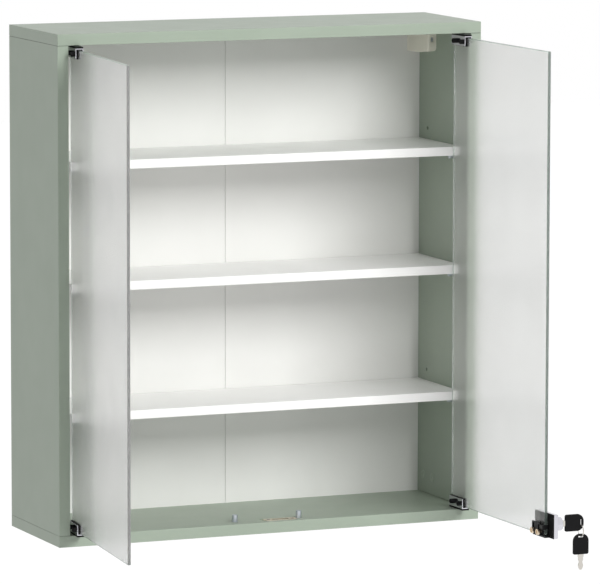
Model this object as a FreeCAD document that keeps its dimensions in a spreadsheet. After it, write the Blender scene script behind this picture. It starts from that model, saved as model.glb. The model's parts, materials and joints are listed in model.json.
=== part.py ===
"""Wall-hung medicine cabinet with two frameless glass doors and a lock, in millimetres.

The origin is at mid-width on the wall plane, at the height at which the two hooks bear on their rail.
+X runs to the viewer's right, +Y into the wall and +Z up. The doors stand open.
"""
import FreeCAD, Part
import math
import os
import re
import Sketcher
from FreeCAD import Placement, Rotation, Vector

SIZES = {
    # Carcass boards, and how far the hooks' bearing line lies below the top
    "cabinet_wide": 600,
    "cabinet_high": 670,
    "cabinet_deep": 184,
    "board_thick": 15,
    "board_round": 0.6,
    "hook_drop": 36,
    # Back panel in its groove, with the recess behind it for the wall rail
    "back_inset": 15,
    "back_thick": 3,
    "groove_deep": 6,
    "groove_clearance": 0.1,
    "back_joint_gap": 0.6,
    "strip_wide": 30,
    "strip_thick": 3,
    # Shelves: height of each top face above the cabinet's underside
    "lower_shelf_rise": 171.3,
    "middle_shelf_rise": 342.3,
    "upper_shelf_rise": 501.5,
    "shelf_thick": 12,
    "shelf_round": 0.8,
    "shelf_side_gap": 0.5,
    "shelf_back_gap": 1,
    "shelf_front_inset": 25,
    # Shelf supports: insets are from the wall plane and setbacks from the front
    "support_radius": 3.5,
    "support_reach": 8,
    "support_back_inset": 46,
    "support_front_setback": 52,
    "support_seat_gap": 0.05,
    "spigot_radius": 2.5,
    "spigot_long": 8,
    "spare_hole_rise": 30,
    # Board connectors: cams in the side panels, bolts and dowels into the top and bottom
    "cam_radius": 6,
    "cam_deep": 12,
    "cam_rise": 24,
    "cam_back_inset": 36.5,
    "cam_middle_inset": 67,
    "cam_front_setback": 34,
    "cam_bolt_radius": 3.5,
    "cam_bolt_seat": 11,
    "cap_radius": 6.3,
    "cap_thick": 0.8,
    "cap_stem_long": 2,
    "dowel_radius": 4,
    "dowel_long": 30,
    "dowel_seat": 10,
    "dowel_back_inset": 51.75,
    "dowel_front_setback": 69,
    "peg_clearance": 0.05,
    # Doors: pivot axis from the side panel's inner face and from the front
    "pivot_inset": 12,
    "pivot_setback": 13.5,
    "glass_thick": 4,
    "glass_end_gap": 5,
    "glass_heel": 9.5,
    "glass_arris": 0.4,
    "door_gap": 3,
    # Hinge clamps on the glass corners
    "clamp_wide": 10.5,
    "clamp_long": 40.5,
    "clamp_heel": 10,
    "clamp_high": 13.3,
    "clamp_wall": 1.3,
    "clamp_round": 0.4,
    "liner_web": 1,
    "liner_proud": 0.5,
    "pad_thick": 2.2,
    "pad_inset": 0.3,
    "pivot_radius": 2.75,
    "pivot_long": 8,
    "pivot_clearance": 0.05,
    "bush_radius": 4.5,
    "bush_deep": 9,
    "flange_radius": 5.2,
    "flange_thick": 0.4,
    "clamp_screw_first": 4,
    "clamp_screw_second": 26.5,
    "clamp_screw_rise": 7.3,
    "clamp_head_radius": 3.2,
    "clamp_head_long": 5.5,
    "clamp_head_round": 0.8,
    "clamp_shank_radius": 2,
    # Door stop pins on the bottom panel
    "stop_radius": 3.85,
    "stop_high": 9.7,
    "stop_inset": 45.7,
    "stop_gap": 0.15,
    "stop_round": 0.6,
    "stop_peg_radius": 2.5,
    "stop_peg_long": 9,
    # Hangers in the upper rear corners
    "hanger_wide": 12,
    "hanger_rear_wide": 18.5,
    "hanger_deep": 55,
    "hanger_drop": 14,
    "hanger_front_drop": 11,
    "hanger_level_deep": 30,
    "hanger_top_gap": 0.3,
    "hanger_wall": 1.5,
    "hanger_floor": 5,
    "hanger_front_wall": 4,
    "hanger_lip": 2,
    "hanger_nose_round": 6,
    "hanger_side_round": 2.5,
    "hanger_window_wide": 4.4,
    "hanger_window_high": 7,
    "stud_radius": 2.5,
    "stud_long": 8,
    "stud_rise": 15.2,
    "stud_back_inset": 12,
    "stud_front_inset": 42,
    "adjuster_radius": 3,
    "adjuster_rise": 4.5,
    "adjuster_throw": 2.5,
    "adjuster_pin_radius": 1,
    "adjuster_drive_radius": 2,
    "adjuster_slot": 0.8,
    "adjuster_play": 0.25,
    "hook_gap": 0.5,
    "hook_thick": 2,
    "hook_arm_high": 8,
    "hook_leaf_high": 10,
    "hook_leaf_wide": 9.2,
    "hook_travel": 2.2,
    "hook_window_gap": 1,
    "tongue_drop": 10,
    "tongue_thick": 3,
    "tongue_wall_gap": 1.5,
    # Lock housing on the right door's lower free corner
    "lock_wide": 49,
    "lock_overhang": 17.5,
    "lock_floor_gap": 2.5,
    "lock_high": 32,
    "lock_back_gap": 0.3,
    "lock_deep": 6.7,
    "lock_wall": 1.5,
    "lock_round": 1.2,
    "lock_pad_thick": 1,
    "fit_gap": 0.2,
    # Lock cylinder and plug, with the key's axis past the glass edge
    "barrel_beyond": 6.5,
    "barrel_rise": 20.4,
    "barrel_radius": 9,
    "barrel_long": 8.6,
    "barrel_round": 1,
    "neck_radius": 7,
    "plug_radius": 6,
    "plug_clearance": 0.05,
    "plug_inset": 0.4,
    "plug_flange_radius": 7.4,
    "plug_flange_thick": 1.2,
    "plug_flange_gap": 0.3,
    "cam_pin_radius": 1.2,
    "cam_pin_gap": 0.2,
    "cam_pin_play": 0.35,
    # Clamp bracket below and behind the glass, and the bolt on its two guide screws
    "bracket_inset": 1,
    "foot_beyond": 4.5,
    "jaw_long": 27,
    "jaw_thick": 2,
    "jaw_rise": 16,
    "guide_first": 6,
    "guide_second": 22,
    "guide_rise": 9,
    "guide_radius": 2,
    "guide_head_radius": 4,
    "guide_head_long": 2.9,
    "guide_socket_radius": 2.3,
    "guide_socket_deep": 1.6,
    "bolt_inset": 3,
    "bolt_wide": 22,
    "bolt_thick": 2.2,
    "bolt_gap": 0.2,
    "bolt_travel": 8,
    "bolt_foot_rise": 4.5,
    "bolt_top_rise": 21,
    "bridge_low_rise": 13.2,
    "bridge_high_rise": 19,
    "web_gap": 0.8,
    "web_thick": 1.2,
    "arm_thick": 1.5,
    "arm_back": 2.5,
    "arm_top_rise": 29,
    "arm_pin_deep": 2.7,
    # Strike plate let into the bottom panel
    "strike_thick": 1,
    "strike_end_margin": 10.4,
    "strike_front_margin": 8.4,
    "strike_back_margin": 5.4,
    "strike_slot_gap": 1,
    "strike_fit": 0.2,
    "strike_pocket_over": 5.2,
    "strike_recess_gap": 1,
    "strike_screw_inset": 5.4,
    "strike_screw_radius": 1.4,
    "strike_screw_head": 2.6,
    "strike_screw_long": 10,
    # Keys and key ring
    "bow_long": 27,
    "bow_wide": 22.3,
    "bow_thick": 2.8,
    "bow_round": 9.5,
    "bow_heel_round": 2.5,
    "bow_edge_round": 0.5,
    "bow_gap": 6.3,
    "key_slot_long": 8,
    "key_slot_wide": 2,
    "key_slot_inset": 3.7,
    "blade_long": 20.5,
    "blade_wide": 8,
    "blade_thick": 2,
    "tang_long": 8,
    "tang_wide": 6,
    "keyway_clearance": 0.15,
    "ring_radius": 7.8,
    "ring_wire_radius": 0.5,
    "ring_gap": 0.3,
}

# How far each door stands open, in degrees
ANGLES = {"left_open": 96, "right_open": 91}
CELLS = SIZES | ANGLES

# The blade's outline from the bow to the tip: share of its length, share of its half width
BLADE_SHARES = (
    (0.0, 1.0),
    (0.16, 1.0),
    (0.24, 0.78),
    (0.34, 0.9),
    (0.44, 0.62),
    (0.54, 0.6),
    (0.64, 0.82),
    (0.74, 0.88),
    (0.84, 0.7),
    (0.94, 0.5),
    (1.0, 0.22),
)

# Places that several pieces share, as sums of named sizes
UNDER = "(hook_drop-cabinet_high)"
BOTTOM_IN = "(hook_drop-cabinet_high+board_thick)"
TOP_IN = "(hook_drop-board_thick)"
OUT_X = "(cabinet_wide/2)"
IN_X = "(cabinet_wide/2-board_thick)"
MID_X = "(cabinet_wide/2-board_thick/2)"
FRONT = "(-cabinet_deep)"
BACK_FACE = "(-back_inset-back_thick)"
GROOVE_FRONT = f"({BACK_FACE}-groove_clearance)"
GROOVE_REAR = "(groove_clearance-back_inset)"
PIVOT_X = "(cabinet_wide/2-board_thick-pivot_inset)"
PIVOT_Y = "(pivot_setback-cabinet_deep)"
CAM_INSETS = ("cam_back_inset", "cam_middle_inset", "(cabinet_deep-cam_front_setback)")
UNDER_HANGER = (("top", "cam_back_inset"), ("top", "cam_middle_inset"))
DOWEL_INSETS = ("dowel_back_inset", "(cabinet_deep-dowel_front_setback)")
SUPPORT_INSETS = ("support_back_inset", "(cabinet_deep-support_front_setback)")
STUD_INSETS = ("stud_back_inset", "stud_front_inset")
SHELVES = ("lower", "middle", "upper")
SPARE_HOLES = ("lower", "upper")
SIDES = {"left": -1, "right": 1}
ENDS = ("bottom", "top")

# Distances along a door from its pivot, and heights above the panel that an end of the door faces
FREE_EDGE = f"({PIVOT_X}-door_gap/2)"
CLAMP_END = "(clamp_long-clamp_heel)"
WEB_INSIDE = "(glass_end_gap-liner_web)"
WEB_OUTSIDE = "(glass_end_gap-liner_web-clamp_wall)"
LEG_EDGE = "(glass_end_gap-liner_web-clamp_wall+clamp_high)"

# Lock: along the door, then out from the middle of the glass, where outwards is -Y
LOCK_FAR = f"({FREE_EDGE}+lock_overhang)"
LOCK_NEAR = f"({FREE_EDGE}+lock_overhang-lock_wide)"
AXIS = f"({FREE_EDGE}+barrel_beyond)"
LOCK_BACK = "(glass_thick/2+lock_back_gap)"
PAD_FACE = "(glass_thick/2+lock_pad_thick)"
LOCK_FACE = "(glass_thick/2+lock_back_gap+lock_deep)"
BARREL_FACE = f"({LOCK_FACE}+barrel_long)"
FLANGE_FACE = f"({LOCK_FACE}-lock_wall-plug_flange_gap)"
FLANGE_BACK = f"({FLANGE_FACE}-plug_flange_thick)"
ARM_FACE = f"({FLANGE_BACK}-cam_pin_gap)"
ARM_BACK = f"({ARM_FACE}-arm_thick)"
JAW_BACK = "(glass_thick/2+jaw_thick)"
BOLT_FACE = f"({JAW_BACK}+bolt_gap)"
BOLT_BACK = f"({JAW_BACK}+bolt_gap+bolt_thick)"
JAW_NEAR = f"({LOCK_NEAR}+bracket_inset)"
GUIDES = (f"-({JAW_NEAR}+guide_first)", f"-({JAW_NEAR}+guide_second)")
BOLT_NEAR = f"({LOCK_NEAR}+bolt_inset)"
BOLT_FAR = f"({LOCK_NEAR}+bolt_inset+bolt_wide)"
WEB_NEAR = f"({FREE_EDGE}+web_gap)"
WEB_FAR = f"({FREE_EDGE}+web_gap+web_thick)"
BOW_FACE = f"({BARREL_FACE}+bow_gap)"
SLOT_OUT = f"({BOW_FACE}+bow_long-key_slot_inset)"
AXIS_Z = f"({BOTTOM_IN}+barrel_rise)"
RING_TOP = f"({AXIS_Z}-key_slot_long/2+ring_wire_radius+ring_gap)"
RING_Z = f"({RING_TOP}-ring_radius)"
RING_LOW = f"({RING_Z}-ring_radius+ring_wire_radius)"
SPARE_FACE_Z = f"({RING_LOW}+ring_gap-key_slot_wide/2+key_slot_inset-bow_long)"

# Strike slot in the closed cabinet's place for the bolt
STRIKE_LOW = f"({PIVOT_X}-{BOLT_FAR}-strike_slot_gap)"
STRIKE_HIGH = f"({PIVOT_X}-{BOLT_NEAR}+strike_slot_gap)"
STRIKE_FRONT = f"({PIVOT_Y}+{BOLT_FACE}-strike_slot_gap)"
STRIKE_REAR = f"({PIVOT_Y}+{BOLT_BACK}+strike_slot_gap)"
STOP_Y = f"({PIVOT_Y}+glass_thick/2+stop_gap+stop_radius)"
PLATE_LEFT = f"({STRIKE_LOW}-strike_end_margin)"
PLATE_RIGHT = f"({STRIKE_HIGH}+strike_end_margin)"
PLATE_FRONT = f"({STRIKE_FRONT}-strike_front_margin)"
PLATE_REAR = f"({STRIKE_REAR}+strike_back_margin)"
PLATE_SCREWS = (f"({PLATE_LEFT}+strike_screw_inset)", f"({PLATE_RIGHT}-strike_screw_inset)")
STRIKE_MID = f"(({STRIKE_FRONT}+{STRIKE_REAR})/2)"

# Hanger: across from the middle, then heights from the hooks' bearing line
HANGER_X = f"({IN_X}-hanger_wide)"
HANGER_REAR_X = f"({IN_X}-hanger_rear_wide)"
HANGER_ROOM_X = f"({IN_X}-hanger_wide+hanger_wall)"
HANGER_MID_X = f"({IN_X}-hanger_wide/2)"
HANGER_FRONT = f"({BACK_FACE}-hanger_deep)"
HANGER_TOP = f"({TOP_IN}-hanger_top_gap)"
DISC_FRONT = f"({HANGER_FRONT}+hanger_lip)"
ROOM_FRONT = f"({HANGER_FRONT}+hanger_front_wall)"
LEAF_FRONT = f"({ROOM_FRONT}+hook_gap)"
HOOK_X = f"({HANGER_ROOM_X}+hook_gap)"
WINDOW_LOW = "(-hook_travel-hook_window_gap)"
WINDOW_HIGH = "(hook_arm_high+hook_travel+hook_window_gap)"

doc = FreeCAD.newDocument("MedicineCabinet")
sheet = doc.addObject("Spreadsheet::Sheet", "Sizes")
for row, (alias, number) in enumerate(CELLS.items(), 1):
    sheet.set(f"A{row}", alias)
    sheet.set(f"B{row}", str(number))
    sheet.setAlias(f"B{row}", alias)
doc.recompute()

WORD = re.compile(r"[a-z]+(?:_[a-z]+)*")
SAME_PLACE = 1e-6
NODES = []


def link(text):
    """A sum of named sizes, with each name turned into a reference to its cell."""
    return WORD.sub(lambda word: "Sizes." + word.group() if word.group() in CELLS else word.group(), text)


def value(text):
    """A sum of named sizes as a number."""
    return float(sheet.evalExpression(link(text)))


def bind(thing, **sums):
    """Bind properties to sums of named sizes; a double underscore stands for a dot."""
    for name, text in sums.items():
        thing.setExpression(name.replace("__", "."), link(text))


def node(thing, label):
    """Name a finished sub-part."""
    thing.Label = label
    NODES.append(thing)
    return thing


def on_door(thing, door):
    """Turn a piece, drawn with its door's pivot at the origin and outwards along -Y, to the open door."""
    thing.Placement = Placement(Vector(), Rotation(Vector(0, 0, 1), 1))
    side = SIDES[door]
    bind(thing, Placement__Base__x=f"{side}*{PIVOT_X}", Placement__Base__y=PIVOT_Y)
    bind(thing, Placement__Rotation__Angle=f"{side}*{door}_open")
    return thing


def rect(left, right, low, high):
    """A rectangle as a closed outline."""
    return [(left, low), (right, low), (right, high), (left, high)]


def across(side, near, far):
    """The lower and upper X of a span that lies near..far from mid-width, on one side."""
    return (near, far) if side > 0 else (f"-({far})", f"-({near})")


def at_end(end, rise):
    """A height above the bottom panel's inner face, or below the top panel's."""
    return f"({BOTTOM_IN}+({rise}))" if end == "bottom" else f"({TOP_IN}-({rise}))"


def end_span(end, first, last):
    """The span between two such heights, the lower one first."""
    span = (at_end(end, first), at_end(end, last))
    return span if end == "bottom" else span[::-1]


def into_panel(end, depth):
    """The height span of a hole that goes from a panel's inner face into the panel."""
    return end_span(end, f"-({depth})", "0")


def sketch(body, name, plane, outlines, offset):
    """A sketch on one of the body's planes; an outline is a list of corners or a circle (x, y, radius)."""
    drawing = body.newObject("Sketcher::SketchObject", name)
    base_plane = next(feature for feature in body.Origin.OriginFeatures if feature.Role == plane + "_Plane")
    drawing.AttachmentSupport = [(base_plane, "")]
    drawing.MapMode = "FlatFace"
    bind(drawing, AttachmentOffset__Base__z=offset)
    for outline in outlines:
        first = drawing.GeometryCount
        if isinstance(outline, tuple):
            x, y, radius = outline
            centre = Vector(value(x), value(y), 0)
            drawing.addGeometry(Part.Circle(centre, Vector(0, 0, 1), value(radius)), False)
            pinned = [(first, 3, outline)]
            size = drawing.addConstraint(Sketcher.Constraint("Radius", first, value(radius)))
            drawing.setExpression(f"Constraints[{size}]", link(radius))
        else:
            corners = [Vector(value(x), value(y), 0) for x, y in outline]
            count = len(corners)
            for i in range(count):
                drawing.addGeometry(Part.LineSegment(corners[i], corners[(i + 1) % count]), False)
            for i in range(count):
                after = first + (i + 1) % count
                drawing.addConstraint(Sketcher.Constraint("Coincident", first + i, 2, after, 1))
            pinned = [(first + i, 1, corner) for i, corner in enumerate(outline)]
        for line, point, where in pinned:
            for kind, text in zip(("DistanceX", "DistanceY"), where):
                pin = Sketcher.Constraint(kind, -1, 1, line, point, value(text))
                drawing.setExpression(f"Constraints[{drawing.addConstraint(pin)}]", link(text))
    return drawing


def new_body(name):
    """An empty body for one solid piece."""
    return doc.addObject("PartDesign::Body", name)


def solid(body, name, plane, outlines, low, high):
    """Add a prism between two coordinates along the plane's normal."""
    start = f"-({high})" if plane == "XZ" else low
    pad = body.newObject("PartDesign::Pad", name)
    pad.Profile = sketch(body, name + "_outline", plane, outlines, start)
    bind(pad, Length=f"({high})-({low})")
    return pad


def hollow(body, name, plane, outlines, low, high):
    """Cut a prism between two coordinates along the plane's normal."""
    start = f"-({low})" if plane == "XZ" else high
    pocket = body.newObject("PartDesign::Pocket", name)
    pocket.Profile = sketch(body, name + "_outline", plane, outlines, start)
    pocket.Type = "Length"
    bind(pocket, Length=f"({high})-({low})")
    return pocket


def soften(body, name, kind, size, keep=None):
    """Round or bevel the edges that keep picks, or every edge."""
    base = body.Tip
    softened = body.newObject("PartDesign::" + kind, name)
    if keep is None:
        softened.Base = (base, [""])
        softened.UseAllEdges = True
    else:
        doc.recompute()
        picked = [f"Edge{i}" for i, edge in enumerate(base.Shape.Edges, 1) if keep(edge)]
        softened.Base = (base, picked)
    bind(softened, **{"Radius" if kind == "Fillet" else "Size": size})
    return softened


def near(number, text):
    """Whether a coordinate is the one that a sum of sizes gives."""
    return math.isclose(number, value(text), abs_tol=SAME_PLACE)


def straight(edge, axis):
    """Whether an edge is a straight line along an axis."""
    if edge.Curve.TypeId != "Part::GeomLine":
        return False
    return edge.tangentAt(edge.FirstParameter).cross(axis).Length < SAME_PLACE


def box(name, x, y, z):
    """A block between pairs of coordinates."""
    block = doc.addObject("Part::Box", name)
    for side, (low, high) in {"Length": x, "Width": y, "Height": z}.items():
        bind(block, **{side: f"({high})-({low})"})
    bind(block, Placement__Base__x=x[0], Placement__Base__y=y[0], Placement__Base__z=z[0])
    return block


TURNS = {
    "x": Rotation(Vector(0, 1, 0), 90),
    "y": Rotation(Vector(1, 0, 0), -90),
    "z": Rotation(),
}


def rod(name, axis, x, y, z, radius):
    """A cylinder along an axis; the coordinate on that axis is a pair, its low and high end."""
    bar = doc.addObject("Part::Cylinder", name)
    bar.Placement = Placement(Vector(), TURNS[axis])
    where = {"x": x, "y": y, "z": z}
    low, high = where[axis]
    bind(bar, Radius=radius, Height=f"({high})-({low})")
    for letter, place in (where | {axis: low}).items():
        bind(bar, **{f"Placement__Base__{letter}": place})
    return bar


def fuse(name, *pieces):
    """One solid made of several."""
    joined = doc.addObject("Part::MultiFuse", name)
    joined.Shapes = pieces
    joined.Refine = True
    return joined


def cut(name, base, tool):
    """A solid less another."""
    less = doc.addObject("Part::Cut", name)
    less.Base = base
    less.Tool = tool
    return less


def group(label, pieces):
    """Separate solids that share one node."""
    together = doc.addObject("Part::Compound", label)
    together.Links = pieces
    return together


def end_panel(end):
    """Top or bottom panel, full width and depth, with its grooves and holes in the inner face."""
    body = new_body(end + "_panel")
    low, high = end_span(end, "-board_thick", "0")
    solid(body, "board", "XY", [rect(f"-{OUT_X}", OUT_X, FRONT, "0")], low, high)
    soften(body, "board_edges", "Fillet", "board_round")
    groove_x = f"({IN_X}+groove_deep)"
    groove = rect(f"-{groove_x}", groove_x, GROOVE_FRONT, GROOVE_REAR)
    hollow(body, "back_groove", "XY", [groove], *into_panel(end, "groove_deep"))
    holes = {
        "bolt_holes": (CAM_INSETS, "cam_bolt_radius", "cam_bolt_seat"),
        "dowel_holes": (DOWEL_INSETS, "dowel_radius", "dowel_seat"),
    }
    for name, (insets, radius, depth) in holes.items():
        rings = [(f"{side}*{MID_X}", f"-{inset}", f"{radius}+peg_clearance")
                 for side in SIDES.values() for inset in insets]
        hollow(body, name, "XY", rings, *into_panel(end, depth + "+peg_clearance"))
    rings = [(f"{side}*{PIVOT_X}", PIVOT_Y, "bush_radius") for side in SIDES.values()]
    hollow(body, "bush_holes", "XY", rings, *into_panel(end, "bush_deep"))
    if end == "bottom":
        strike_seat(body)
        rings = [(f"{side}*stop_inset", STOP_Y, "stop_peg_radius+peg_clearance") for side in SIDES.values()]
        hollow(body, "stop_holes", "XY", rings, *into_panel(end, "stop_peg_long"))
    return node(body, end + "_panel")


def strike_seat(body):
    """Pocket for the strike plate, the bolt's recess under its slot, and its screw holes."""
    pocket = rect(f"{PLATE_LEFT}-strike_pocket_over", f"{PLATE_RIGHT}+strike_fit",
                  f"{PLATE_FRONT}-strike_fit", f"{PLATE_REAR}+strike_fit")
    hollow(body, "strike_pocket", "XY", [pocket], *into_panel("bottom", "strike_thick"))
    recess = rect(STRIKE_LOW, STRIKE_HIGH, STRIKE_FRONT, STRIKE_REAR)
    depth = "bolt_travel-bolt_foot_rise+strike_recess_gap"
    hollow(body, "bolt_recess", "XY", [recess], *into_panel("bottom", depth))
    rings = [(x, STRIKE_MID, "strike_screw_radius") for x in PLATE_SCREWS]
    hollow(body, "strike_screw_holes", "XY", rings, *into_panel("bottom", "strike_screw_long"))


def support_z(shelf):
    """Height of the axis of the supports under a shelf."""
    return f"({UNDER}+{shelf}_shelf_rise-shelf_thick-support_seat_gap-support_radius)"


def side_panel(name):
    """Side panel between the top and bottom, with the holes for what it carries."""
    side = SIDES[name]
    body = new_body(name + "_side_panel")
    board = rect(f"{side}*{IN_X}", f"{side}*{OUT_X}", FRONT, "0")
    solid(body, "board", "XY", [board], BOTTOM_IN, TOP_IN)
    soften(body, "board_edges", "Fillet", "board_round")
    groove = rect(f"{side}*{IN_X}", f"{side}*({IN_X}+groove_deep)", GROOVE_FRONT, GROOVE_REAR)
    hollow(body, "back_groove", "XY", [groove], BOTTOM_IN, TOP_IN)
    cams = [(f"-{inset}", at_end(end, "cam_rise"), "cam_radius+peg_clearance")
            for end in ENDS for inset in CAM_INSETS]
    hollow(body, "cam_holes", "YZ", cams, *across(side, IN_X, f"{IN_X}+cam_deep+peg_clearance"))
    for end in ENDS:
        bolts = [(f"{side}*{MID_X}", f"-{inset}", "cam_bolt_radius+peg_clearance") for inset in CAM_INSETS]
        hollow(body, end + "_bolt_holes", "XY", bolts, *end_span(end, "0", "cam_rise"))
        dowels = [(f"{side}*{MID_X}", f"-{inset}", "dowel_radius+peg_clearance") for inset in DOWEL_INSETS]
        dowel_span = end_span(end, "0", "dowel_long-dowel_seat+peg_clearance")
        hollow(body, end + "_dowel_holes", "XY", dowels, *dowel_span)
    spigots = [(f"-{inset}", support_z(shelf), "spigot_radius+peg_clearance")
               for shelf in SHELVES for inset in SUPPORT_INSETS]
    spigots += [(f"-{inset}", f"{support_z(shelf)}+spare_hole_rise", "spigot_radius+peg_clearance")
                for shelf in SPARE_HOLES for inset in SUPPORT_INSETS]
    hollow(body, "support_holes", "YZ", spigots, *across(side, IN_X, f"{IN_X}+spigot_long+peg_clearance"))
    studs = [(f"{BACK_FACE}-{inset}", "stud_rise", "stud_radius+peg_clearance") for inset in STUD_INSETS]
    hollow(body, "hanger_holes", "YZ", studs, *across(side, IN_X, f"{IN_X}+stud_long+peg_clearance"))
    return node(body, name + "_side_panel")


def back_half(name):
    """One half of the back panel, with the window for its hook."""
    side = SIDES[name]
    body = new_body("back_panel_" + name)
    reach = f"({IN_X}+groove_deep-groove_clearance)"
    low = f"{BOTTOM_IN}-groove_deep+groove_clearance"
    high = f"{TOP_IN}+groove_deep-groove_clearance"
    sheet_outline = rect(f"{side}*back_joint_gap/2", f"{side}*{reach}", low, high)
    solid(body, "sheet", "XZ", [sheet_outline], BACK_FACE, "-back_inset")
    window = rect(f"{side}*{HANGER_ROOM_X}", f"{side}*{IN_X}", WINDOW_LOW, WINDOW_HIGH)
    hollow(body, "hook_window", "XZ", [window], BACK_FACE, "-back_inset")
    return node(body, "back_panel_" + name)


def shelf(name):
    """A loose shelf on its four supports."""
    body = new_body("shelf_" + name)
    reach = f"({IN_X}-shelf_side_gap)"
    outline = rect(f"-{reach}", reach, f"{FRONT}+shelf_front_inset", f"{BACK_FACE}-shelf_back_gap")
    top = f"({UNDER}+{name}_shelf_rise)"
    solid(body, "board", "XY", [outline], f"{top}-shelf_thick", top)
    soften(body, "board_edges", "Fillet", "shelf_round")
    return node(body, "shelf_" + name)


def shelf_supports(name):
    """Four pins with spigots in the side panels, under one shelf."""
    pins = []
    for side in SIDES.values():
        for inset in SUPPORT_INSETS:
            y, z = f"-{inset}", support_z(name)
            in_bay = across(side, f"{IN_X}-support_reach", IN_X)
            in_panel = across(side, IN_X, f"{IN_X}+spigot_long")
            head = rod("support_head", "x", in_bay, y, z, "support_radius")
            spigot = rod("support_spigot", "x", in_panel, y, z, "spigot_radius")
            pins.append(fuse("support_pin", head, spigot))
    return node(group("supports", pins), "shelf_supports_" + name)


def connectors():
    """Cam locks, their bolts and caps, and the dowels, at the four corners of the carcass."""
    cams, bolts, caps, dowels = [], [], [], []
    for side in SIDES.values():
        for end in ENDS:
            for inset in CAM_INSETS:
                y, z = f"-{inset}", at_end(end, "cam_rise")
                deep = across(side, f"{IN_X}+cap_stem_long+peg_clearance", f"{IN_X}+cam_deep")
                cams.append(rod("cam", "x", deep, y, z, "cam_radius"))
                span = end_span(end, "-cam_bolt_seat", "cam_rise-cam_radius-peg_clearance")
                bolts.append(rod("cam_bolt", "z", f"{side}*{MID_X}", y, span, "cam_bolt_radius"))
                if (end, inset) in UNDER_HANGER:
                    continue
                proud = across(side, f"{IN_X}-cap_thick", IN_X)
                sunk = across(side, IN_X, f"{IN_X}+cap_stem_long")
                disc = rod("cap_disc", "x", proud, y, z, "cap_radius")
                caps.append(fuse("cap", disc, rod("cap_stem", "x", sunk, y, z, "cam_radius")))
            for inset in DOWEL_INSETS:
                span = end_span(end, "-dowel_seat", "dowel_long-dowel_seat")
                dowels.append(rod("dowel", "z", f"{side}*{MID_X}", f"-{inset}", span, "dowel_radius"))
    node(group("cams", cams), "cam_locks")
    node(group("bolts", bolts), "cam_bolts")
    node(group("caps", caps), "cam_cover_caps")
    node(group("pegs", dowels), "dowels")


def hinge_bushes():
    """Flanged nylon bushes in the top and bottom panels, one for each door pivot."""
    bushes = []
    for side in SIDES.values():
        for end in ENDS:
            x = f"{side}*{PIVOT_X}"
            sunk = end_span(end, "-bush_deep", "0")
            proud = end_span(end, "0", "flange_thick")
            whole = end_span(end, "-bush_deep", "flange_thick")
            sleeve = rod("bush_sleeve", "z", x, PIVOT_Y, sunk, "bush_radius")
            flange = rod("bush_flange", "z", x, PIVOT_Y, proud, "flange_radius")
            bore = rod("bush_bore", "z", x, PIVOT_Y, whole, "pivot_radius+pivot_clearance")
            bushes.append(cut("bush", fuse("bush_blank", sleeve, flange), bore))
    node(group("bushes", bushes), "hinge_bushes")


def strike_parts():
    """Strike plate, flush in the bottom panel, and its countersunk screws."""
    body = new_body("strike_plate")
    low, high = into_panel("bottom", "strike_thick")
    solid(body, "plate", "XY", [rect(PLATE_LEFT, PLATE_RIGHT, PLATE_FRONT, PLATE_REAR)], low, high)
    hollow(body, "bolt_slot", "XY", [rect(STRIKE_LOW, STRIKE_HIGH, STRIKE_FRONT, STRIKE_REAR)], low, high)
    hollow(body, "screw_holes", "XY", [(x, STRIKE_MID, "strike_screw_head") for x in PLATE_SCREWS], low, high)
    node(body, "strike_plate")
    screws = []
    for x in PLATE_SCREWS:
        head = doc.addObject("Part::Cone", "strike_screw_cone")
        bind(head, Radius1="strike_screw_radius", Radius2="strike_screw_head-peg_clearance")
        bind(head, Height="strike_thick", Placement__Base__z=low)
        bind(head, Placement__Base__x=x, Placement__Base__y=STRIKE_MID)
        span = into_panel("bottom", "strike_screw_long")
        shank = rod("strike_screw_shank", "z", x, STRIKE_MID, (span[0], low), "strike_screw_radius")
        screws.append(fuse("strike_screw", head, shank))
    node(group("screws", screws), "strike_plate_screws")


def stop_pins():
    """Two pins on the bottom panel, against which the closed doors rest."""
    pins = []
    for side in SIDES.values():
        pin = new_body("stop_pin")
        x = f"{side}*stop_inset"
        solid(pin, "head", "XY", [(x, STOP_Y, "stop_radius")], *end_span("bottom", "0", "stop_high"))
        top = value(at_end("bottom", "stop_high"))
        soften(pin, "head_edge", "Fillet", "stop_round", lambda edge: edge.BoundBox.ZMin > top - SAME_PLACE)
        solid(pin, "peg", "XY", [(x, STOP_Y, "stop_peg_radius")], *end_span("bottom", "-stop_peg_long", "0"))
        pins.append(pin)
    node(group("stops", pins), "door_stop_pins")


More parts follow.
